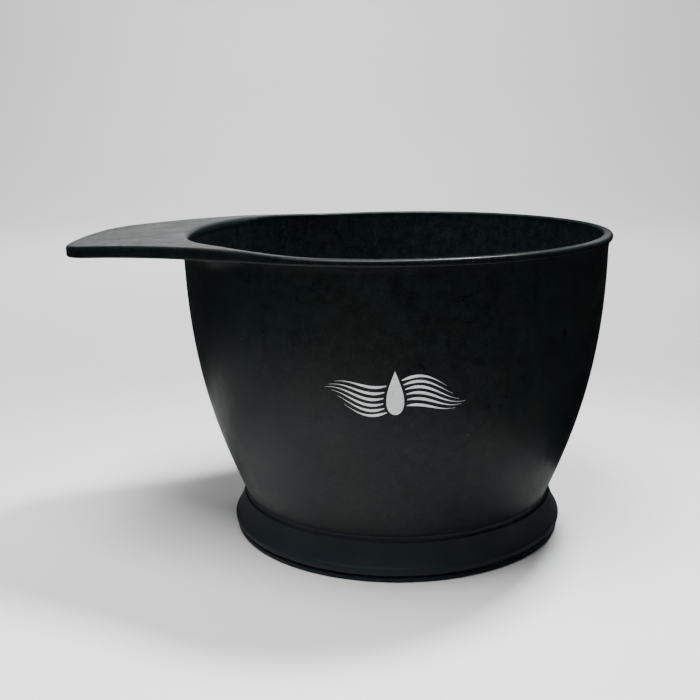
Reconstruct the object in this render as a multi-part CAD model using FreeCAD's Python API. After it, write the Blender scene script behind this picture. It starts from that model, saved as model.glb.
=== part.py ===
import FreeCAD, Part
import math
import os

# Hair colour mixing bowl, in millimetres.
# Two pieces: a moulded plastic shell (wall, floor, lip, thumb rest and foot collar in one piece)
# and a non-slip rubber ring that is stretched over a retaining bead on the shell's foot collar.
# +Z is up, the origin is on the bowl's axis at the surface it stands on, and the thumb rest
# points along -X.

Vector = FreeCAD.Vector
ORIGIN = Vector(0, 0, 0)
UP = Vector(0, 0, 1)

# Driving dimensions
HEIGHT = 88.3               # standing surface to the top of the lip
LIP_RADIUS = 62.5           # outside of the lip
REST_REACH = 93.5           # bowl axis to the end of the thumb rest
NECK_HEIGHT = 11.0          # where the wall's curve ends, at the foot collar
RING_RADIUS = 49.8          # the rubber ring's widest point
WALL = 1.7                  # shell wall thickness

# Wall: one curve from the neck up to the lip, given by its two ends and the tangents there
NECK_RADIUS = 45.85
NECK_SLOPE = math.radians(22.9)     # from vertical
NECK_PULL = 20.0
TOP_RADIUS = 61.35                  # the wall is vertical here
TOP_BELOW_LIP = 2.5
TOP_PULL = 35.5
WALL_STEPS = 12                     # points that the wall's curve is drawn through

# Floor and foot collar
FLOOR_TOP = 10.2
FLOOR_THICKNESS = 2.2
FLOOR_FILLET = 9.0          # inside, between floor and wall
COLLAR_RADIUS = 44.4
COLLAR_THICKNESS = 2.2
COLLAR_BOTTOM = 2.0
BEAD_STANDS_OUT = 0.9
BEAD_LOW = 3.2
BEAD_HIGH = 5.6
GATE_WELL_RADIUS = 5.0      # shallow well under the floor, with the moulding gate's stub in it
GATE_WELL_DEPTH = 0.6
GATE_STUB_RADIUS = 1.2

# Lip and thumb rest. Along X the top is level, climbs a little as it nears the thumb rest, is
# level again at the crest, and then falls away as a parabola.
LIP_THICKNESS = 1.8
EDGE_DEPTH = 3.25           # turned-down edge of the thumb rest
EDGE_THICKNESS = 1.7
CLIMB_START = 18.0          # distances from the bowl's axis
CREST = 50.0
CREST_RISE = 1.05
FALL_RATE = 0.0010          # fall is this times the square of the distance past the crest
CREST_HALF_WIDTH = 44.2     # of the thumb rest, at the crest
REST_TAPER = math.radians(24.0)
REST_END_RADIUS = 115.0     # the gently curved end
REST_CORNER_RADIUS = 15.8
ROOT_BLEND_RADIUS = 32.0    # where the lip's circle runs into the side of the thumb rest
LIP_ROUND = 0.85
INNER_ROUND = 0.7

# Rubber ring: a thin top edge that lies on the wall, a cove, a rounded shoulder, a slightly hollow
# skirt, a rounded nose at its widest, a fine groove, and a bead that it stands on
TOP_EDGE = 0.08             # thickness of the ring's top edge
COVE_RADIUS = 1.2
SHOULDER_OUT = 1.0          # direction from the neck to the shoulder, out and down
SHOULDER_DOWN = 0.65
SKIRT_TOP_RADIUS = 46.95
SKIRT_TOP = 10.0
SHOULDER_BULGE = 0.05
SKIRT_HOLLOW = 0.17
NOSE_TOP = 4.3
NOSE_MIDDLE = 2.9
NOSE_BOTTOM = 2.0
NOSE_TUCK = 0.55            # the nose's two ends are this much nearer the axis than its middle
GROOVE_RADIUS = 48.8
GROOVE_BOTTOM = 1.7
BASE_BEAD_RADIUS = 49.35
BASE_RADIUS = 48.6
BASE_INNER_RADIUS = 40.2

PAST = 6.0                  # how far a cutting or trimmed solid runs past what it meets


def wall_point(t, inset):
    """Point on the wall's outer curve (t from 0 to 1), moved into the plastic by inset."""
    ends = [(NECK_RADIUS, NECK_HEIGHT),
            (NECK_RADIUS + NECK_PULL * math.sin(NECK_SLOPE),
             NECK_HEIGHT + NECK_PULL * math.cos(NECK_SLOPE)),
            (TOP_RADIUS, HEIGHT - TOP_BELOW_LIP - TOP_PULL),
            (TOP_RADIUS, HEIGHT - TOP_BELOW_LIP)]
    s = 1 - t
    weights = (s ** 3, 3 * s * s * t, 3 * s * t * t, t ** 3)
    slopes = (-3 * s * s, 3 * s * s - 6 * s * t, 6 * s * t - 3 * t * t, 3 * t * t)
    radius, height = (sum(w * end[i] for w, end in zip(weights, ends)) for i in (0, 1))
    run, climb = (sum(w * end[i] for w, end in zip(slopes, ends)) for i in (0, 1))
    length = math.hypot(run, climb)
    return Vector(radius - inset * climb / length, 0, height + inset * run / length)


def spline(points):
    curve = Part.BSplineCurve()
    curve.interpolate(points)
    return curve.toShape()


def outline(*pieces):
    """Closed face from edges and (radius, height) corners given in order; corners join up straight."""
    edges = []
    last = first = None
    for piece in list(pieces) + [None]:
        if piece is None:
            start = first
        elif isinstance(piece, tuple):
            start = Vector(piece[0], 0, piece[1])
        else:
            start = piece.valueAt(piece.FirstParameter)
        if last is not None and last.distanceToPoint(start) > 1e-6:
            edges.append(Part.makeLine(last, start))
        if piece is None:
            break
        if not isinstance(piece, tuple):
            edges.append(piece)
            start_of_next = piece.valueAt(piece.LastParameter)
        else:
            start_of_next = start
        first = first or start
        last = start_of_next
    return Part.Face(Part.Wire(edges))


def arc(start, middle, end):
    return Part.Arc(*(Vector(r, 0, z) for r, z in (start, middle, end))).toShape()


def turned(face):
    return face.revolve(ORIGIN, UP, 360)


def wall_edge(first, inset):
    """The wall's curve from parameter first up to its top."""
    steps = range(WALL_STEPS + 1)
    return spline([wall_point(first + (1 - first) * i / WALL_STEPS, inset) for i in steps])


def retaining_bead():
    """Bead round the collar, shared by the shell and the groove in the rubber ring."""
    return arc((COLLAR_RADIUS, BEAD_LOW), (COLLAR_RADIUS + BEAD_STANDS_OUT, (BEAD_LOW + BEAD_HIGH) / 2),
               (COLLAR_RADIUS, BEAD_HIGH))


def outside_body():
    """Everything inside the wall's outer face, with the collar and the gate mark under the floor."""
    under = FLOOR_TOP - FLOOR_THICKNESS
    collar_inner = COLLAR_RADIUS - COLLAR_THICKNESS
    return turned(outline(
        (0, under), (GATE_STUB_RADIUS, under), (GATE_STUB_RADIUS, under + GATE_WELL_DEPTH),
        (GATE_WELL_RADIUS, under + GATE_WELL_DEPTH), (GATE_WELL_RADIUS, under),
        (collar_inner, under), (collar_inner, COLLAR_BOTTOM), (COLLAR_RADIUS, COLLAR_BOTTOM),
        retaining_bead(), (COLLAR_RADIUS, NECK_HEIGHT), wall_edge(0, 0),
        (TOP_RADIUS, HEIGHT + PAST), (0, HEIGHT + PAST)))


def inside_space():
    """The space in the bowl, up past the lip."""
    below_neck = -0.06      # the inner curve starts this far back, under the floor's top
    start = wall_point(below_neck, WALL)
    sharp = turned(outline((0, start.z), wall_edge(below_neck, WALL), (TOP_RADIUS - WALL, HEIGHT + PAST),
                           (0, HEIGHT + PAST)))
    space = sharp.common(Part.makeCylinder(LIP_RADIUS, HEIGHT, Vector(0, 0, FLOOR_TOP)))
    corner = [e for e in space.Edges if abs(e.BoundBox.ZMax - FLOOR_TOP) < 1e-3 and e.Closed]
    return space.makeFillet(FLOOR_FILLET, corner)


def layer(lip_drop, rest_drop, thickness):
    """Slab whose top lies lip_drop below the top of the lip, and rest_drop below the thumb rest."""
    level = HEIGHT - lip_drop
    crest = HEIGHT + CREST_RISE - rest_drop
    end = REST_REACH + PAST
    third = (CREST - CLIMB_START) / 3
    climb = Part.BezierCurve()
    climb.setPoles([Vector(-CLIMB_START, 0, level), Vector(-CLIMB_START - third, 0, level),
                    Vector(-CREST + third, 0, crest), Vector(-CREST, 0, crest)])
    fall = Part.BezierCurve()
    fall.setPoles([Vector(-CREST, 0, crest), Vector(-(CREST + end) / 2, 0, crest),
                   Vector(-end, 0, crest - FALL_RATE * (end - CREST) ** 2)])
    far = LIP_RADIUS + PAST
    face = outline((far, level), climb.toShape(), fall.toShape(), (-end, level - thickness),
                   (far, level - thickness))
    face.translate(Vector(0, -far, 0))
    return face.extrude(Vector(0, 2 * far, 0))


def top_height(x):
    """Height of the top of the lip and thumb rest above x."""
    if x > -CLIMB_START:
        return HEIGHT
    if x > -CREST:
        t = (-x - CLIMB_START) / (CREST - CLIMB_START)
        return HEIGHT + CREST_RISE * t * t * (3 - 2 * t)
    return HEIGHT + CREST_RISE - FALL_RATE * (x + CREST) ** 2


def plan():
    """Upright block with the outline of the lip and the thumb rest."""
    base = HEIGHT - 3 * PAST
    tall = 4 * PAST
    near, far = CLIMB_START, REST_REACH + PAST      # the near end lies inside the lip's circle
    half = {x: CREST_HALF_WIDTH - (x - CREST) * math.tan(REST_TAPER) for x in (near, far)}
    corners = [Vector(-x, side * half[x], base) for x, side in
               ((near, -1), (near, 1), (far, 1), (far, -1), (near, -1))]
    wedge = Part.Face(Part.makePolygon(corners)).extrude(Vector(0, 0, tall))
    end = Part.makeCylinder(REST_END_RADIUS, tall, Vector(REST_END_RADIUS - REST_REACH, 0, base))
    rest = wedge.common(end)

    def upright(shape, test):
        return [e for e in shape.Edges if e.Length > tall - 1e-3 and e.BoundBox.ZLength > tall - 1e-3
                and test(e.Vertexes[0].Point)]

    rest = rest.makeFillet(REST_CORNER_RADIUS, upright(rest, lambda p: p.x < -CREST))
    block = rest.fuse(Part.makeCylinder(LIP_RADIUS, tall, Vector(0, 0, base))).removeSplitter()
    roots = upright(block, lambda p: -CREST < p.x < -CLIMB_START and abs(p.y) > CREST_HALF_WIDTH)
    return block.makeFillet(ROOT_BLEND_RADIUS, roots)


def inset(block, distance):
    """The same upright block with its outline moved in by distance."""
    low = min(block.Faces, key=lambda f: f.CenterOfMass.z)
    smaller = low.makeOffset2D(-distance)
    return smaller.extrude(Vector(0, 0, block.BoundBox.ZLength))


def top_edges(shell, outer):
    """Edges round the top of the lip and thumb rest: the outer ones, or those at the bowl's mouth."""
    found = []
    for edge in shell.Edges:
        middle = edge.valueAt((edge.FirstParameter + edge.LastParameter) / 2)
        on_top = all(abs(p.z - top_height(p.x)) < 0.01 for p in edge.discretize(5))
        if on_top and (math.hypot(middle.x, middle.y) > TOP_RADIUS) == outer:
            found.append(edge)
    return found


def bowl_shell():
    block = plan()
    body = outside_body()
    lip = block.common(layer(0, 0, PAST)).cut(layer(LIP_THICKNESS, EDGE_DEPTH, 2 * PAST))
    pocket = inset(block, EDGE_THICKNESS).common(layer(LIP_THICKNESS, LIP_THICKNESS, 2 * PAST))
    trimmed = body.cut(layer(-2 * PAST, -2 * PAST, 2 * PAST))
    shell = trimmed.fuse(lip.cut(pocket)).cut(inside_space()).removeSplitter()
    shell = shell.makeFillet(LIP_ROUND, top_edges(shell, True))
    return shell.makeFillet(INNER_ROUND, top_edges(shell, False))


def ring_cove():
    """Hollow arc from the ring's thin top edge, where it lies on the wall, out to the shoulder."""
    neck = Vector(NECK_RADIUS, 0, NECK_HEIGHT)
    up_wall = Vector(math.sin(NECK_SLOPE), 0, math.cos(NECK_SLOPE))
    to_shoulder = Vector(SHOULDER_OUT, 0, -SHOULDER_DOWN).normalize()
    half_angle = up_wall.getAngle(to_shoulder) / 2
    reach = COVE_RADIUS / math.tan(half_angle)
    outward = (up_wall + to_shoulder).normalize()
    middle = neck + outward * (COVE_RADIUS / math.sin(half_angle) - COVE_RADIUS)
    off_wall = Vector(TOP_EDGE, 0, 0)
    return Part.Arc(neck + up_wall * reach + off_wall, middle, neck + to_shoulder * reach).toShape()


def non_slip_ring():
    cove = ring_cove()
    top = cove.valueAt(cove.FirstParameter)
    shoulder = cove.valueAt(cove.LastParameter)
    halfway = ((shoulder.x + SKIRT_TOP_RADIUS) / 2 + SHOULDER_BULGE,
               (shoulder.z + SKIRT_TOP) / 2 + SHOULDER_BULGE)
    rounded = arc((shoulder.x, shoulder.z), halfway, (SKIRT_TOP_RADIUS, SKIRT_TOP))
    tucked = RING_RADIUS - NOSE_TUCK
    skirt = arc((SKIRT_TOP_RADIUS, SKIRT_TOP),
                ((SKIRT_TOP_RADIUS + tucked) / 2 - SKIRT_HOLLOW, (SKIRT_TOP + NOSE_TOP) / 2),
                (tucked, NOSE_TOP))
    nose = arc((tucked, NOSE_TOP), (RING_RADIUS, NOSE_MIDDLE), (tucked, NOSE_BOTTOM))
    base_bead = arc((GROOVE_RADIUS, GROOVE_BOTTOM), (BASE_BEAD_RADIUS, GROOVE_BOTTOM / 2),
                    (BASE_RADIUS, 0))
    uncut = turned(outline(
        (COLLAR_RADIUS, top.z), cove, rounded, skirt, nose, (GROOVE_RADIUS, NOSE_BOTTOM), base_bead,
        (BASE_INNER_RADIUS, 0), (BASE_INNER_RADIUS, COLLAR_BOTTOM), (COLLAR_RADIUS, COLLAR_BOTTOM)))
    return uncut.cut(outside_body())


os.makedirs("parts", exist_ok=True)
for name, shape in (("bowl_shell", bowl_shell()), ("non_slip_ring", non_slip_ring())):
    box = shape.BoundBox
    print(name, shape.isValid(), len(shape.Solids), round(shape.Volume), [round(v, 2) for v in (
        box.XMin, box.XMax, box.YMin, box.YMax, box.ZMin, box.ZMax)])
    shape.exportStep("parts/" + name + ".step")
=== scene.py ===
import bpy
import math
from mathutils import Matrix, Vector


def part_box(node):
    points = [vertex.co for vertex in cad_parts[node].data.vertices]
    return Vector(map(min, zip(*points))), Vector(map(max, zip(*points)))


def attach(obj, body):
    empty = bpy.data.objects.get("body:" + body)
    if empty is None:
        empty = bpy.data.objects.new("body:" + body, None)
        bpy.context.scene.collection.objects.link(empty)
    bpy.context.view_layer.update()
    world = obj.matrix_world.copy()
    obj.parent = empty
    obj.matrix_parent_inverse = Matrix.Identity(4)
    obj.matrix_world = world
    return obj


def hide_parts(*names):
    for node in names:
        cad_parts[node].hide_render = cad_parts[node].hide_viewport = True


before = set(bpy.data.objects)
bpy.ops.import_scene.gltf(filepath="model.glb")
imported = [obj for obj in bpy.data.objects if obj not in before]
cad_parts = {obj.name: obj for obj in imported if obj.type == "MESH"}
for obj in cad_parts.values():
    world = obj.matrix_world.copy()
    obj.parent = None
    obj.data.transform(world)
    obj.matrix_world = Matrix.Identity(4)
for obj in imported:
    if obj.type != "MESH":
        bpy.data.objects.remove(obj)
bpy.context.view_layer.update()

# Hair colour mixing bowl: a satin black plastic shell with a wide thumb rest, standing in a black
# rubber ring. Lengths are millimetres until a mesh is made, and MM turns them into metres.
MM = 0.001

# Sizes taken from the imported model
shell_low, shell_high = (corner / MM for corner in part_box("bowl_shell"))
RING_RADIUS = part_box("non_slip_ring")[1].x / MM
CREST_RISE = 1.05                       # the thumb rest's crest stands this far above the lip
HEIGHT = shell_high.z - CREST_RISE
LIP_RADIUS = shell_high.x
REST_REACH = -shell_low.x
COLLAR_BOTTOM = shell_low.z

# Wall
WALL = 1.7
NECK_RADIUS = 45.85
NECK_HEIGHT = 11.0
NECK_SLOPE = math.radians(22.9)         # from vertical
NECK_PULL = 20.0
TOP_RADIUS = 61.35
TOP_BELOW_LIP = 2.5
TOP_PULL = 35.5

# Floor and foot collar
FLOOR_TOP = 10.2
FLOOR_UNDER = 8.0
FLOOR_FILLET = 9.0
COLLAR_RADIUS = 44.4
COLLAR_INNER = 42.2
BEAD_STANDS_OUT = 0.9
BEAD_LOW = 3.2
BEAD_HIGH = 5.6
GATE_WELL_RADIUS = 5.0
GATE_WELL_DEPTH = 0.6
GATE_STUB_RADIUS = 1.2

# Lip and thumb rest
LIP_THICKNESS = 1.8
EDGE_DEPTH = 3.25
EDGE_THICKNESS = 1.7
CLIMB_START = 18.0
CREST = 50.0
FALL_RATE = 0.0010
CREST_HALF_WIDTH = 44.2
REST_TAPER = math.radians(24.0)
REST_END_RADIUS = 115.0
REST_CORNER_RADIUS = 15.8
ROOT_BLEND_RADIUS = 32.0
LIP_ROUND = 0.85
UNDER_ROUND = 0.65
MOUTH_ROUND = 0.7                       # at the lip
REST_MOUTH_ROUND = 2.4                  # where the thumb rest turns down into the bowl
PARTING_DEPTH = 0.1                     # fine line round the edge where the mould's halves met
PARTING_WIDTH = 0.12
PARTING_SHARE = 0.45                    # how far down the flat of the edge it runs
LIP_COVE = 2.6                          # how far the hollow under the lip runs down the wall
REST_COVE = 5.4                         # the same where the thumb rest leaves the lip
COVE_OUT = 3.2                          # the furthest that this hollow reaches out from the wall
EDGE_FOOT = 0.04                        # flat under the lip's edge
REST_BLEND = 12.0                       # the mouth's rounding grows over this much overhang

# Rubber ring
TOP_EDGE = 0.08
COVE_RADIUS = 1.2
SHOULDER_OUT = 1.0
SHOULDER_DOWN = 0.65
SHOULDER_BULGE = 0.05
SKIRT_TOP_RADIUS = 46.95
SKIRT_TOP = 10.0
SKIRT_HOLLOW = 0.17
NOSE_TOP = 4.3
NOSE_MIDDLE = 2.9
NOSE_BOTTOM = 2.0
NOSE_TUCK = 0.55
GROOVE_RADIUS = 48.8
GROOVE_BOTTOM = 1.7
BASE_BEAD_RADIUS = 49.35
BASE_RADIUS = 48.6
BASE_INNER_RADIUS = 40.2

# Print on the front: a lock of wavy hair with a drop of colour in front of it
PRINT_HEIGHT = 54.4                     # of its middle, above the surface the bowl stands on
PRINT_THICKNESS = 0.05
PRINT_SUNK = 0.03                       # its underside is this far inside the plastic
DROP_HALF_WIDTH = 3.1
DROP_LOW = -5.0
DROP_HIGH = 6.6
DROP_MARGIN = 0.75                      # bare plastic between the drop and the strands
STRANDS = 6
STRAND_REACH = 17.8                     # from the print's middle to the ends of the longest
STRAND_HALF_WIDTH = 0.34
STRAND_GAP = 1.75
STRAND_STEPS = 64
WAVE_RISE = 1.7
WAVE_LENGTH = 22.0

# Middle of the two cards in the studio that only reflections see
CARDS_MIDDLE = (-58, -34)


# ---------------------------------------------------------------- shapes in section and in plan

def smooth(value):
    """0 below 0, 1 above 1, and level at both ends."""
    value = min(1.0, max(0.0, value))
    return value * value * (3 - 2 * value)


def between(first, last, steps):
    """steps + 1 evenly spaced numbers from first to last."""
    return [first + (last - first) * i / steps for i in range(steps + 1)]


def quarter_turn(steps):
    """Angles in radians from 0 to a right angle."""
    return [math.radians(a) for a in between(0, 90, steps)]


def circle(centre, radius, turns):
    """Points round a circle, the first one along +X."""
    return [(centre[0] + radius * math.cos(a), centre[1] + radius * math.sin(a))
            for a in (math.tau * i / turns for i in range(turns))]


def wall(t, inset):
    """(radius, height) on the wall's outer curve, moved into the plastic by inset."""
    ends = ((NECK_RADIUS, NECK_HEIGHT),
            (NECK_RADIUS + NECK_PULL * math.sin(NECK_SLOPE),
             NECK_HEIGHT + NECK_PULL * math.cos(NECK_SLOPE)),
            (TOP_RADIUS, HEIGHT - TOP_BELOW_LIP - TOP_PULL),
            (TOP_RADIUS, HEIGHT - TOP_BELOW_LIP))
    s = 1 - t
    weights = (s ** 3, 3 * s * s * t, 3 * s * t * t, t ** 3)
    slopes = (-3 * s * s, 3 * s * s - 6 * s * t, 6 * s * t - 3 * t * t, 3 * t * t)
    radius, height = (sum(w * end[i] for w, end in zip(weights, ends)) for i in (0, 1))
    run, climb = (sum(w * end[i] for w, end in zip(slopes, ends)) for i in (0, 1))
    length = math.hypot(run, climb)
    return radius - inset * climb / length, height + inset * run / length


def wall_share(height):
    """How far along the wall's outer curve a height is, from 0 to 1."""
    low, high = 0.0, 1.0
    for _ in range(24):
        middle = (low + high) / 2
        if wall(middle, 0)[1] < height:
            low = middle
        else:
            high = middle
    return low


def wall_at_height(height):
    """The wall's outer radius at a height."""
    return wall(wall_share(height), 0)[0]


def arc_points(centre, radius, first, last, steps):
    """Points round an arc, with its angles in degrees."""
    return [(centre[0] + radius * math.cos(turn), centre[1] + radius * math.sin(turn))
            for turn in (math.radians(a) for a in between(first, last, steps))]


def arc_through(start, middle, end, steps):
    """Points on the arc through three points."""
    (ax, ay), (bx, by), (cx, cy) = start, middle, end
    d = 2 * (ax * (by - cy) + bx * (cy - ay) + cx * (ay - by))
    a2, b2, c2 = ax * ax + ay * ay, bx * bx + by * by, cx * cx + cy * cy
    x = (a2 * (by - cy) + b2 * (cy - ay) + c2 * (ay - by)) / d
    y = (a2 * (cx - bx) + b2 * (ax - cx) + c2 * (bx - ax)) / d
    first = math.atan2(ay - y, ax - x)
    turn = math.atan2(cy - y, cx - x) - first
    half = math.atan2(by - y, bx - x) - first
    turn = (turn + math.pi) % math.tau - math.pi
    half = (half + math.pi) % math.tau - math.pi
    if half * turn < 0:
        turn -= math.copysign(math.tau, turn)
    radius = math.hypot(ax - x, ay - y)
    return [(x + radius * math.cos(first + turn * f), y + radius * math.sin(first + turn * f))
            for f in between(0, 1, steps)]


def top_height(x):
    """Height of the top of the lip and the thumb rest above x."""
    fall = FALL_RATE * max(0.0, -x - CREST) ** 2
    return HEIGHT + CREST_RISE * smooth((-x - CLIMB_START) / (CREST - CLIMB_START)) - fall


def edge_depth(x):
    """How deep the outer edge is above x: the lip's thickness, more at the thumb rest."""
    climbed = smooth((-x - CLIMB_START) / (CREST - CLIMB_START))
    return LIP_THICKNESS + (EDGE_DEPTH - LIP_THICKNESS) * climbed


def half_outline():
    """The outline in plan from the middle of the thumb rest's end round to the back of the lip.

    Each entry is the outline's point and its outward normal, with the bowl's axis at (0, 0) and
    the thumb rest along the first coordinate.
    """
    side = math.pi / 2 - REST_TAPER                 # direction that the side faces
    side_far = CREST * math.cos(side) + CREST_HALF_WIDTH * math.sin(side)
    end = (REST_REACH - REST_END_RADIUS, 0.0)
    end_reach = REST_END_RADIUS - REST_CORNER_RADIUS
    corner = side - math.acos((side_far - REST_CORNER_RADIUS - end[0] * math.cos(side)) / end_reach)
    corner_at = (end[0] + end_reach * math.cos(corner), end_reach * math.sin(corner))
    root_reach = LIP_RADIUS + ROOT_BLEND_RADIUS
    root = side - math.acos((side_far + ROOT_BLEND_RADIUS) / root_reach)
    root_at = (root_reach * math.cos(root), root_reach * math.sin(root))

    def round_part(centre, radius, first, last, steps):
        """An arc given by the directions it faces; a negative radius makes it hollow."""
        return [((centre[0] + radius * math.cos(a), centre[1] + radius * math.sin(a)),
                 (math.cos(a), math.sin(a))) for a in between(first, last, steps)]

    found = round_part(end, REST_END_RADIUS, 0, corner, 16)
    found += round_part(corner_at, REST_CORNER_RADIUS, corner, side, 16)[1:]
    hollow = round_part(root_at, -ROOT_BLEND_RADIUS, side, root, 10)
    start, stop = Vector(found[-1][0]), Vector(hollow[0][0])
    found += [(tuple(start.lerp(stop, f)), found[-1][1]) for f in between(0, 1, 22)[1:-1]]
    found += hollow
    return found + round_part((0, 0), LIP_RADIUS, root, math.pi, 96)[1:]


# ---------------------------------------------------------------- meshes

def finish_mesh(name, points, faces, material):
    """A smooth-shaded piece from points in millimetres; edges sharper than 34 degrees stay crisp."""
    mesh = bpy.data.meshes.new(name)
    mesh.from_pydata([Vector(p) * MM for p in points], [], faces)
    mesh.validate()
    mesh.update()
    for polygon in mesh.polygons:
        polygon.use_smooth = True
    mesh.set_sharp_from_angle(angle=math.radians(34))
    mesh.materials.append(material)
    piece = bpy.data.objects.new(name, mesh)
    bpy.context.scene.collection.objects.link(piece)
    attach(piece, "root")
    return piece


def joined_columns(columns, poles):
    """Faces between neighbouring columns of points, closed at both ends by a pole or end to end."""
    rows = len(columns[0])
    points = [p for column in columns for p in column]
    faces = []
    for i in range(len(columns)):
        here, there = i * rows, (i + 1) % len(columns) * rows
        faces += [(here + j, there + j, there + j + 1, here + j + 1) for j in range(rows - 1)]
        if not poles:
            faces.append((here + rows - 1, there + rows - 1, there, here))
    for pole, row in zip(poles, (0, rows - 1)):
        points.append(pole)
        ring = [i * rows + row for i in range(len(columns))]
        for a, b in zip(ring, ring[1:] + ring[:1]):
            faces.append((a, len(points) - 1, b) if row == 0 else (a, b, len(points) - 1))
    return points, faces


FLOOR_STEPS, FILLET_STEPS, WALL_STEPS = 9, 12, 34
INSIDE_ROWS = FLOOR_STEPS + FILLET_STEPS + WALL_STEPS + 2


class Ray:
    """From the bowl's axis to one point of the outline; places the points of the section above it."""

    def __init__(self, outline_point, outward, side):
        self.outline_point = outline_point
        self.outward = outward
        self.side = side
        self.reach = math.hypot(*outline_point)
        self.overhang = self.reach - TOP_RADIUS
        self.way = (outline_point[0] / self.reach, outline_point[1] / self.reach)

    def in_plan(self, radius):
        return Vector(self.way) * radius

    def at_radius(self, radius, height):
        return -radius * self.way[0], self.side * radius * self.way[1], height

    def top_at_radius(self, radius):
        return top_height(-radius * self.way[0])

    def in_from_edge(self, distance):
        return (self.outline_point[0] - distance * self.outward[0],
                self.outline_point[1] - distance * self.outward[1])

    def at_edge(self, distance, below_top):
        u, w = self.in_from_edge(distance)
        return -u, self.side * w, top_height(-u) - below_top


def fillet_touch():
    """Where, along the wall's curve, the fillet between the floor and the wall ends."""
    low, high = 0.0, 0.5
    for _ in range(40):
        middle = (low + high) / 2
        if wall(middle, WALL + FLOOR_FILLET)[1] < FLOOR_TOP + FLOOR_FILLET:
            low = middle
        else:
            high = middle
    return middle


def inside_points(ray):
    """Floor, fillet and wall, up to the mouth."""
    touch = fillet_touch()
    centre = (wall(touch, WALL + FLOOR_FILLET)[0], FLOOR_TOP + FLOOR_FILLET)
    contact = wall(touch, WALL)
    last_angle = math.degrees(math.atan2(contact[1] - centre[1], contact[0] - centre[0]))
    found = [ray.at_radius(radius, FLOOR_TOP) for radius in between(3, centre[0] - 1.5, FLOOR_STEPS)]
    found += [ray.at_radius(*p) for p in arc_points(centre, FLOOR_FILLET, -90, last_angle, FILLET_STEPS)]
    return found + [ray.at_radius(*wall(t, WALL)) for t in between(touch, 1, WALL_STEPS)[1:]]


def top_points(ray):
    """Rounded mouth, then the top out to where the outer edge starts to turn down."""
    mouth = TOP_RADIUS - WALL
    on_rest = smooth((ray.reach - LIP_RADIUS) / REST_BLEND)
    mouth_round = MOUTH_ROUND + (REST_MOUTH_ROUND - MOUTH_ROUND) * on_rest
    mouth_round = min(mouth_round, 0.5 * (ray.reach - mouth))
    found = []
    for turn in quarter_turn(8):
        radius = mouth + mouth_round * (1 - math.cos(turn))
        below = mouth_round * (1 - math.sin(turn))
        found.append(ray.at_radius(radius, ray.top_at_radius(radius) - below))
    inner = ray.in_plan(mouth + mouth_round)
    outer = Vector(ray.in_from_edge(LIP_ROUND))
    for f in between(0, 1, 14)[1:-1]:
        u, w = inner.lerp(outer, f)
        found.append((-u, ray.side * w, top_height(-u)))
    return found


def edge_points(ray):
    """Outer edge, from its rounded top past the parting line to its rounded bottom."""
    found = [ray.at_edge(LIP_ROUND * (1 - math.cos(turn)), LIP_ROUND * (1 - math.sin(turn)))
             for turn in reversed(quarter_turn(6))]
    depth = edge_depth(-ray.outline_point[0])
    line = LIP_ROUND + PARTING_SHARE * (depth - LIP_ROUND - UNDER_ROUND)
    for below, cut in ((-PARTING_WIDTH, 0), (-PARTING_WIDTH / 2, 0), (-PARTING_WIDTH / 5, 1),
                       (PARTING_WIDTH / 5, 1), (PARTING_WIDTH / 2, 0), (PARTING_WIDTH, 0)):
        found.append(ray.at_edge(PARTING_DEPTH * cut, line + below))
    for turn in quarter_turn(5):
        below = depth - UNDER_ROUND * (1 - math.sin(turn))
        found.append(ray.at_edge(UNDER_ROUND * (1 - math.cos(turn)), below))
    return found


def underside_points(ray):
    """Foot of the edge, hollow behind it, cove down onto the wall, and the wall down to the neck."""
    depth = edge_depth(-ray.outline_point[0])
    hollow = (depth - LIP_THICKNESS) * smooth((ray.overhang - 1.5) / 3.5)
    thin = UNDER_ROUND + EDGE_FOOT
    edge = thin + (EDGE_THICKNESS - UNDER_ROUND - EDGE_FOOT) * smooth((ray.overhang - 1.3) / 3)
    room = ray.overhang - edge
    soft = min(0.35, 0.08 * room)
    found = [ray.at_edge(edge - 0.05 * soft, depth),
             ray.at_edge(edge, depth - 0.06 * hollow),
             ray.at_edge(edge + 0.1 * soft, depth - hollow + soft * hollow / EDGE_DEPTH),
             ray.at_edge(edge + soft, depth - hollow)]
    cove_out = min(COVE_OUT, 0.95 * (room - soft))
    rounded = smooth((ray.overhang - 1.2) / 4)          # 0 at the lip, 1 under the thumb rest
    cove_down = LIP_COVE + (REST_COVE - LIP_COVE) * rounded
    inner = ray.in_plan(TOP_RADIUS + cove_out)
    outer = Vector(ray.in_from_edge(edge + soft))
    for f in between(1, 0, 10)[1:-1]:
        u, w = inner.lerp(outer, f)
        deeper = edge_depth(-u) - LIP_THICKNESS - hollow
        found.append((-u, ray.side * w, top_height(-u) - edge_depth(-u) + hollow + deeper * (1 - f)))
    for turn in quarter_turn(12):
        down = 1 - math.cos(turn)
        arc = 1 - math.sin(turn)
        flare = (1 - 0.5 * rounded) * (1 - down) ** 1.5 + 0.5 * rounded * arc
        radius = TOP_RADIUS + cove_out * flare
        found.append(ray.at_radius(radius, ray.top_at_radius(radius) - LIP_THICKNESS - cove_down * down))
    cove_low = found[-1][2]
    return found + [ray.at_radius(*wall(t, 0)) for t in between(wall_share(cove_low), 0, 44)[1:]]


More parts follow.
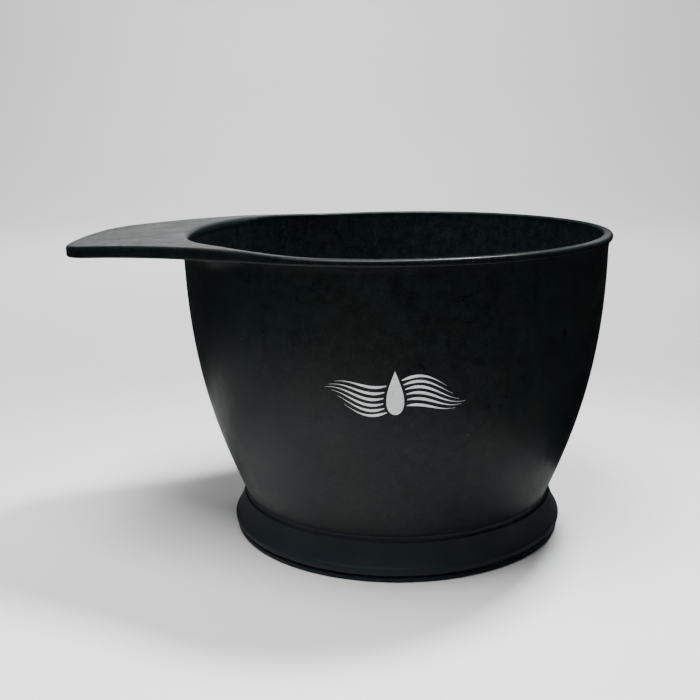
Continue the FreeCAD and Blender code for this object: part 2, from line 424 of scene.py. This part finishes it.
def foot_points(ray):
    """Collar with its bead, inside the rubber ring, and the underside of the floor."""
    bead_middle = (COLLAR_RADIUS + BEAD_STANDS_OUT, (BEAD_LOW + BEAD_HIGH) / 2)
    section = [(COLLAR_RADIUS, NECK_HEIGHT), (COLLAR_RADIUS, BEAD_HIGH)]
    section += arc_through((COLLAR_RADIUS, BEAD_HIGH), bead_middle, (COLLAR_RADIUS, BEAD_LOW), 6)[1:]
    section += [(COLLAR_RADIUS, COLLAR_BOTTOM), (COLLAR_INNER, COLLAR_BOTTOM)]
    section += arc_points((COLLAR_INNER - 1, FLOOR_UNDER - 1), 1, 0, 90, 5)
    section += [(radius, FLOOR_UNDER) for radius in between(COLLAR_INNER - 3, GATE_WELL_RADIUS, 8)]
    section += [(GATE_WELL_RADIUS - 0.3, FLOOR_UNDER + GATE_WELL_DEPTH),
                (GATE_STUB_RADIUS + 0.1, FLOOR_UNDER + GATE_WELL_DEPTH),
                (GATE_STUB_RADIUS, FLOOR_UNDER + 0.1)]
    return [ray.at_radius(*p) for p in section]


def shell_column(outline_point, outward, side):
    """The shell's section above one point of the outline, from the inside floor to the underside."""
    ray = Ray(outline_point, outward, side)
    return (inside_points(ray) + top_points(ray) + edge_points(ray) + underside_points(ray)
            + foot_points(ray))


def build_shell(material):
    """The whole moulding; its point attribute "inside" is 1 on the floor, the wall and their fillet."""
    half = half_outline()
    columns = [shell_column(point, outward, 1) for point, outward in half]
    columns += [shell_column(point, outward, -1) for point, outward in half[-2:0:-1]]
    poles = [(0, 0, FLOOR_TOP), (0, 0, FLOOR_UNDER + 0.1)]
    points, faces = joined_columns(columns, poles)
    shell = finish_mesh("moulded_bowl", points, faces, material)
    rows = len(columns[0])
    inside = shell.data.attributes.new("inside", "FLOAT", "POINT")
    for number, value in enumerate(inside.data):
        on_floor = number == len(points) - 2            # the pole in the middle of the floor
        value.value = on_floor or number < len(points) - 2 and number % rows < INSIDE_ROWS
    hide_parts("bowl_shell")
    return shell


def ring_cove(steps):
    """Hollow arc from the ring's thin top edge, where it lies on the wall, out to the shoulder."""
    neck = Vector((NECK_RADIUS, NECK_HEIGHT))
    up_wall = Vector((math.sin(NECK_SLOPE), math.cos(NECK_SLOPE)))
    to_shoulder = Vector((SHOULDER_OUT, -SHOULDER_DOWN)).normalized()
    half_angle = up_wall.angle(to_shoulder) / 2
    reach = COVE_RADIUS / math.tan(half_angle)
    outward = (up_wall + to_shoulder).normalized()
    middle = neck + outward * (COVE_RADIUS / math.sin(half_angle) - COVE_RADIUS)
    return arc_through(neck + up_wall * reach + Vector((TOP_EDGE, 0)), middle,
                       neck + to_shoulder * reach, steps)


def build_ring(material):
    cove = ring_cove(14)
    top, shoulder = cove[0], cove[-1]
    halfway = ((shoulder[0] + SKIRT_TOP_RADIUS) / 2 + SHOULDER_BULGE,
               (shoulder[1] + SKIRT_TOP) / 2 + SHOULDER_BULGE)
    tucked = RING_RADIUS - NOSE_TUCK
    section = [(top[0] - 0.3, top[1])] + cove
    section += arc_through(shoulder, halfway, (SKIRT_TOP_RADIUS, SKIRT_TOP), 6)[1:]
    section += arc_through((SKIRT_TOP_RADIUS, SKIRT_TOP),
                           ((SKIRT_TOP_RADIUS + tucked) / 2 - SKIRT_HOLLOW,
                            (SKIRT_TOP + NOSE_TOP) / 2),
                           (tucked, NOSE_TOP), 14)[1:]
    nose_ends = ((tucked, NOSE_TOP), (tucked, NOSE_BOTTOM))
    section += arc_through(nose_ends[0], (RING_RADIUS, NOSE_MIDDLE), nose_ends[1], 12)[1:]
    section += [(GROOVE_RADIUS, NOSE_BOTTOM)]
    section += arc_through((GROOVE_RADIUS, GROOVE_BOTTOM), (BASE_BEAD_RADIUS, GROOVE_BOTTOM / 2),
                           (BASE_RADIUS, 0), 8)
    section += [(radius, 0) for radius in between(BASE_RADIUS - 0.4, BASE_INNER_RADIUS + 0.2, 6)]
    section += [(BASE_INNER_RADIUS, 0.2), (BASE_INNER_RADIUS, COLLAR_BOTTOM)]
    section += [(COLLAR_RADIUS, COLLAR_BOTTOM)]
    section += arc_through((COLLAR_RADIUS, BEAD_LOW),
                           (COLLAR_RADIUS + BEAD_STANDS_OUT, (BEAD_LOW + BEAD_HIGH) / 2),
                           (COLLAR_RADIUS, BEAD_HIGH), 6)
    section += [(COLLAR_RADIUS, NECK_HEIGHT), (NECK_RADIUS - 0.3, NECK_HEIGHT)]
    turns = 288
    columns = [[(radius * math.cos(a), radius * math.sin(a), height) for radius, height in section]
               for a in (math.tau * i / turns for i in range(turns))]
    points, faces = joined_columns(columns, [])
    faces = [tuple(reversed(face)) for face in faces]
    ring = finish_mesh("rubber_foot_ring", points, faces, material)
    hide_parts("non_slip_ring")
    return ring


def on_wall(across, up, out):
    """The flat print's point, wrapped round the front of the wall and moved out of the plastic."""
    height = PRINT_HEIGHT + up
    radius = wall_at_height(height)
    turn = across / radius
    return (radius + out) * math.sin(turn), -(radius + out) * math.cos(turn), height


def ink_strip(middles, half_widths, steps):
    """Closed thin strip of ink; half_widths are vectors across it at each of its middles."""
    columns = []
    for middle, half_width in zip(middles, half_widths):
        across = [(middle[0] + f * half_width[0], middle[1] + f * half_width[1])
                  for f in between(-1, 1, steps)]
        columns.append([on_wall(u, v, PRINT_THICKNESS) for u, v in across]
                       + [on_wall(u, v, -PRINT_SUNK) for u, v in reversed(across)])
    rows = len(columns[0])
    points = [p for column in columns for p in column]
    faces = [tuple(range(rows)), tuple(range(len(points) - 1, len(points) - 1 - rows, -1))]
    for i in range(len(columns) - 1):
        here, there = i * rows, (i + 1) * rows
        faces += [(here + j, there + j, there + (j + 1) % rows, here + (j + 1) % rows)
                  for j in range(rows)]
    return points, faces


def drop_half_width(up):
    """Half the drop's width at a height from the print's middle: round below, pointed above."""
    f = (up - DROP_LOW) / (DROP_HIGH - DROP_LOW)
    return DROP_HALF_WIDTH * 1.93 * math.sqrt(f) * (1 - f) ** 1.15 if 0 < f < 1 else 0.0


def drop():
    """The drop of colour in the middle of the print."""
    middle, reach = (DROP_LOW + DROP_HIGH) / 2, (DROP_HIGH - DROP_LOW) / 2
    heights = [middle - reach * 0.995 * math.cos(math.pi * f) for f in between(0.01, 1, 40)]
    return ink_strip([(0, h) for h in heights], [(drop_half_width(h), 0) for h in heights], 12)


def strand_point(across, place):
    """Point on a strand's middle line; place counts strands up from the print's middle."""
    reach = abs(across) / STRAND_REACH
    wave = WAVE_RISE * math.sin(math.tau * (across / WAVE_LENGTH - 0.035 * place))
    return across, place * STRAND_GAP * (1 - 0.6 * smooth(reach)) + wave


def strand(side, number):
    """Half of one strand, from beside the drop out to its fine end."""
    place = number - (STRANDS - 1) / 2
    start = 0.4
    while abs(start) < drop_half_width(strand_point(side * start, place)[1]) + DROP_MARGIN:
        start += 0.05
    end = STRAND_REACH * (1 - 0.09 * abs(place + 0.7 * side))
    middles = [strand_point(side * across, place) for across in between(start, end, STRAND_STEPS)]
    thick = [0.25 + 0.75 * smooth(4 * f + 0.2) for f in between(0, 1, STRAND_STEPS)]
    fine = [smooth(1.3 * (1 - f)) + 0.06 for f in between(0, 1, STRAND_STEPS)]
    slopes = [(after[0] - before[0], after[1] - before[1]) for before, after in
              zip([middles[0]] + middles[:-1], middles[1:] + [middles[-1]])]
    half_widths = []
    for (run, rise), a, b in zip(slopes, thick, fine):
        width = STRAND_HALF_WIDTH * a * b / math.hypot(run, rise)
        half_widths.append((-rise * width, run * width))
    return ink_strip(middles, half_widths, 3)


def build_print(material):
    points, faces = [], []
    parts = [drop()] + [strand(side, number) for side in (-1, 1) for number in range(STRANDS)]
    for part_points, part_faces in parts:
        faces += [tuple(len(points) + i for i in face) for face in part_faces]
        points += part_points
    return finish_mesh("front_print", points, faces, material)


# ---------------------------------------------------------------- materials

class Nodes:
    """Short calls for building one material's node tree."""

    def __init__(self, name):
        self.material = bpy.data.materials.new(name)
        self.material.use_nodes = True
        self.tree = self.material.node_tree
        self.shader = self.tree.nodes["Principled BSDF"]
        self.place = self.tree.nodes.new("ShaderNodeTexCoord").outputs["Object"]

    def add(self, kind, settings=None, **values):
        node = self.tree.nodes.new(kind)
        for key, value in (settings or {}).items():
            setattr(node, key, value)
        for key, value in values.items():
            self.put(value, node.inputs[key.replace("_", " ")])
        return node

    def put(self, value, socket):
        if isinstance(value, bpy.types.NodeSocket):
            self.tree.links.new(value, socket)
        else:
            socket.default_value = value

    def stretched(self, scale):
        """Object coordinates in millimetres, scaled along each axis."""
        node = self.add("ShaderNodeMapping", Vector=self.place)
        node.inputs["Scale"].default_value = [s / MM for s in scale]
        return node.outputs[0]

    def noise(self, size, detail=2.0, rough=0.5, scale=(1, 1, 1)):
        """Noise from 0 to 1 whose features are about size millimetres."""
        stretched = self.stretched([s / size for s in scale])
        return self.add("ShaderNodeTexNoise", Vector=stretched, Scale=1.0, Detail=detail,
                        Roughness=rough).outputs[0]

    def ramp(self, value, low, high, first=0.0, last=1.0):
        """first where value is low, last where it is high."""
        node = self.add("ShaderNodeMapRange", {"interpolation_type": "SMOOTHSTEP"}, Value=value)
        for socket, number in zip(list(node.inputs)[1:5], (low, high, first, last)):
            socket.default_value = number
        return node.outputs[0]

    def math(self, operation, first, second):
        node = self.add("ShaderNodeMath", {"operation": operation})
        self.put(first, node.inputs[0])
        self.put(second, node.inputs[1])
        return node.outputs[0]

    def mix(self, share, first, last, blend="MIX"):
        node = self.add("ShaderNodeMix", {"data_type": "RGBA", "blend_type": blend})
        self.put(share, node.inputs[0])
        self.put(first, node.inputs[6])
        self.put(last, node.inputs[7])
        return node.outputs[2]

    def bump(self, height, distance, strength, below=None):
        """Bump whose full height is distance millimetres."""
        node = self.add("ShaderNodeBump", Height=height, Distance=distance * MM, Strength=strength)
        if below is not None:
            self.put(below, node.inputs["Normal"])
        return node.outputs[0]


def satin_plastic():
    n = Nodes("satin_black_polypropylene")
    cloud = n.noise(28, 3)
    outer = n.mix(n.ramp(cloud, 0.35, 0.65), (0.0036, 0.0078, 0.0070, 1), (0.0034, 0.0066, 0.0088, 1))
    inside = n.add("ShaderNodeAttribute", {"attribute_name": "inside"}).outputs["Fac"]
    worn = n.ramp(n.noise(2.2, 4, 0.6, (1, 1, 0.35)), 0.35, 0.7)
    # Painted light: the inside gets a lighter tint of the same plastic than the outside, standing in for
    # the light that falls into the bowl; worn mixes two such tints in random streaks.
    inner = n.mix(worn, (0.0075, 0.0125, 0.0150, 1), (0.0105, 0.0165, 0.0200, 1))
    mottle = n.noise(2.4, 3, 0.6)
    grain = n.noise(0.55, 2.5, 0.65)
    depth = n.math("MULTIPLY", n.ramp(grain, 0.35, 0.65, 0.6, 1.4), n.ramp(mottle, 0.3, 0.7, 0.7, 1.3))
    tint = n.mix(1.0, n.mix(inside, outer, inner), depth, "MULTIPLY")
    specks = n.add("ShaderNodeTexVoronoi", Vector=n.stretched([1 / 2.6] * 3), Scale=1.0)
    chosen = n.ramp(n.add("ShaderNodeSeparateColor", Color=specks.outputs["Color"]).outputs[0],
                    0.93, 0.97)
    dust = n.math("MULTIPLY", n.ramp(specks.outputs["Distance"], 0.03, 0.07, 1.0, 0.0), chosen)
    n.put(n.mix(dust, tint, (0.11, 0.12, 0.12, 1)), n.shader.inputs["Base Color"])
    flow = n.noise(9, 4, 0.6)
    rough = n.math("ADD", n.ramp(flow, 0.3, 0.7, 0.31, 0.40), n.ramp(grain, 0.3, 0.7, -0.03, 0.04))
    rough = n.math("ADD", rough, n.ramp(mottle, 0.3, 0.7, -0.03, 0.04))
    rough = n.math("ADD", rough, n.math("MULTIPLY", inside, 0.10))
    n.put(n.math("ADD", rough, n.math("MULTIPLY", dust, 0.3)), n.shader.inputs["Roughness"])
    n.shader.inputs["IOR"].default_value = 1.49
    n.shader.inputs["Specular IOR Level"].default_value = 0.2
    waves = n.bump(mottle, 0.02, 0.5, n.bump(n.noise(17, 1.5), 0.06, 0.5))
    n.put(n.bump(grain, 0.012, 0.5, waves), n.shader.inputs["Normal"])
    return n.material


def pale_ink():
    """Pad-printed ink: slightly uneven, and a little thin in places."""
    n = Nodes("pale_pad_print_ink")
    cover = n.ramp(n.noise(0.5, 3, 0.6), 0.28, 0.46)
    n.put(n.mix(cover, (0.42, 0.45, 0.44, 1), (0.72, 0.76, 0.75, 1)), n.shader.inputs["Base Color"])
    grain = n.noise(0.18, 2)
    n.put(n.ramp(grain, 0.3, 0.7, 0.45, 0.6), n.shader.inputs["Roughness"])
    n.put(n.bump(grain, 0.01, 0.4), n.shader.inputs["Normal"])
    return n.material


def matt_rubber():
    n = Nodes("matt_black_rubber")
    cloud = n.noise(12, 3)
    n.put(n.mix(n.ramp(cloud, 0.3, 0.7), (0.0085, 0.0135, 0.0175, 1), (0.0115, 0.0170, 0.0215, 1)),
          n.shader.inputs["Base Color"])
    grain = n.noise(0.3, 3, 0.65)
    n.put(n.math("ADD", n.ramp(cloud, 0.3, 0.7, 0.54, 0.62), n.ramp(grain, 0.3, 0.7, -0.03, 0.03)),
          n.shader.inputs["Roughness"])
    n.shader.inputs["IOR"].default_value = 1.47
    n.shader.inputs["Specular IOR Level"].default_value = 0.18
    n.put(n.bump(grain, 0.02, 0.5, n.bump(n.noise(10, 1.5), 0.05, 0.4)), n.shader.inputs["Normal"])
    return n.material


def pale_floor():
    n = Nodes("pale_floor")
    n.put(n.mix(n.ramp(n.noise(220, 2), 0.3, 0.7), (0.86, 0.86, 0.86, 1), (0.89, 0.89, 0.89, 1)),
          n.shader.inputs["Base Color"])
    n.shader.inputs["Roughness"].default_value = 0.7
    n.shader.inputs["Specular IOR Level"].default_value = 0.0
    return n.material


# ---------------------------------------------------------------- stage, light and camera

def stage_mesh(name, points, faces, material):
    """A piece of the studio, from points in millimetres."""
    mesh = bpy.data.meshes.new(name)
    mesh.from_pydata([Vector(p) * MM for p in points], [], faces)
    mesh.materials.append(material)
    piece = bpy.data.objects.new(name, mesh)
    bpy.context.scene.collection.objects.link(piece)
    return piece


def leave_to_reflections(card):
    """Only reflections see the card: it casts no shadow, and the camera looks past it."""
    card.visible_camera = card.visible_shadow = card.visible_diffuse = False


def build_floor(material):
    """Level floor that curves up into a backdrop behind the bowl."""
    half_width, front, back, bend, rise = 1500, -1200, 900, 500, 900
    section = [(front, 0), (0, 0), (back, 0)]
    section += [(back + bend * math.sin(math.radians(a)), bend * (1 - math.cos(math.radians(a))))
                for a in between(0, 90, 18)[1:]]
    section += [(back + bend, bend + rise)]
    points = [(x, y, z) for x in (-half_width, half_width) for y, z in section]
    count = len(section)
    faces = [(i, i + count, i + count + 1, i + 1) for i in range(count - 1)]
    floor = stage_mesh("studio_floor", points, faces, material)
    for polygon in floor.data.polygons:
        polygon.use_smooth = True


def build_black_card(centre, radius, height, tall):
    """Low black card round the bowl, taller behind its right side.

    Its black is a painted reflection: the plastic mirrors it as a dark room past a small bright part of
    the floor.
    """
    n = Nodes("black_card")
    n.shader.inputs["Base Color"].default_value = (0.030, 0.036, 0.032, 1)
    n.shader.inputs["Specular IOR Level"].default_value = 0.0
    low, high = [], []
    for x, y in circle(centre, radius, 96):
        behind_right = smooth((y - 20) / 50) * smooth((x + 50) / 40)
        low.append((x, y, 0))
        high.append((x, y, height + (tall - height) * behind_right))
    turns = len(low)
    faces = [(i, (i + 1) % turns, turns + (i + 1) % turns, turns + i) for i in range(turns)]
    leave_to_reflections(stage_mesh("black_card", low + high, faces, n.material))


def build_grey_card(centre, radius, pale_middle, pale_reach, grey_reach):
    """Sheet just above the floor, pale round pale_middle and grey from grey_reach away.

    Its colour is a painted reflection: it softens the bright floor that the sides of the bowl mirror.
    """
    above_floor = 0.5
    n = Nodes("grey_card")
    away = n.add("ShaderNodeVectorMath", {"operation": "DISTANCE"}, Vector=n.place)
    away.inputs[1].default_value = Vector((*pale_middle, 0)) * MM
    n.put(n.mix(n.ramp(away.outputs["Value"], pale_reach * MM, grey_reach * MM),
                (0.95, 0.95, 0.93, 1), (0.30, 0.32, 0.30, 1)), n.shader.inputs["Base Color"])
    n.shader.inputs["Specular IOR Level"].default_value = 0.0
    n.shader.inputs["Roughness"].default_value = 0.9
    edge = [(x, y, above_floor) for x, y in circle(centre, radius, 64)]
    leave_to_reflections(stage_mesh("grey_card", edge, [tuple(range(len(edge)))], n.material))


def softbox(name, place, target, size, power, spread=180):
    """Rectangular light at place, facing target; both in millimetres. spread is in degrees."""
    light = bpy.data.lights.new(name, "AREA")
    light.shape = "RECTANGLE"
    light.size, light.size_y = (s * MM for s in size)
    light.energy = power
    light.spread = math.radians(spread)
    lamp = bpy.data.objects.new(name, light)
    lamp.location = Vector(place) * MM
    lamp.rotation_euler = (Vector(target) - Vector(place)).to_track_quat("-Z", "Y").to_euler()
    lamp.visible_camera = False
    bpy.context.scene.collection.objects.link(lamp)


def build_world(seen, given):
    """Plain surroundings: seen is how bright they look, given is how much light they give."""
    world = bpy.data.worlds.new("studio")
    bpy.context.scene.world = world
    world.use_nodes = True
    nodes, links = world.node_tree.nodes, world.node_tree.links
    background = nodes["Background"]
    path = nodes.new("ShaderNodeLightPath")
    strength = nodes.new("ShaderNodeMapRange")
    links.new(path.outputs["Is Camera Ray"], strength.inputs["Value"])
    strength.inputs["To Min"].default_value = given
    strength.inputs["To Max"].default_value = seen
    links.new(strength.outputs[0], background.inputs["Strength"])
    background.inputs["Color"].default_value = (1, 1, 1, 1)


def build_camera():
    """Looks slightly down on the bowl from the front, a little to the thumb rest's side."""
    distance, height = 288.9, 120.1
    turn, pitch, roll = -0.047, 0.2305, -0.0181
    focal_length, frame_width = 50.351, 36
    forward = Vector((math.sin(turn) * math.cos(pitch),
                      math.cos(turn) * math.cos(pitch),
                      -math.sin(pitch)))
    level = Vector((math.cos(turn), -math.sin(turn), 0))
    upright = level.cross(forward)
    right = level * math.cos(roll) + upright * math.sin(roll)
    up = upright * math.cos(roll) - level * math.sin(roll)
    data = bpy.data.cameras.new("camera")
    data.sensor_width = frame_width
    data.lens = focal_length
    data.clip_start = 0.01
    camera = bpy.data.objects.new("camera", data)
    camera.matrix_world = Matrix.Translation(Vector((0, -distance, height)) * MM) @ Matrix(
        (right, up, -forward)).transposed().to_4x4()
    bpy.context.scene.collection.objects.link(camera)
    bpy.context.scene.camera = camera


build_shell(satin_plastic())
build_ring(matt_rubber())
build_print(pale_ink())
build_floor(pale_floor())
build_black_card(CARDS_MIDDLE, radius=134, height=95, tall=170)
build_grey_card(CARDS_MIDDLE, radius=133, pale_middle=(-40, -45), pale_reach=35, grey_reach=85)
softbox("overhead", (-140, -170, 900), (-40, -20, 0), (450, 450), 12)
softbox("key", (190, 150, 732), (15, -50, 85), (120, 120), 0.55, spread=40)
softbox("behind", (-150, 500, 800), (-50, 1250, 150), (600, 300), 11)
build_world(seen=1.0, given=0.03)
build_camera()
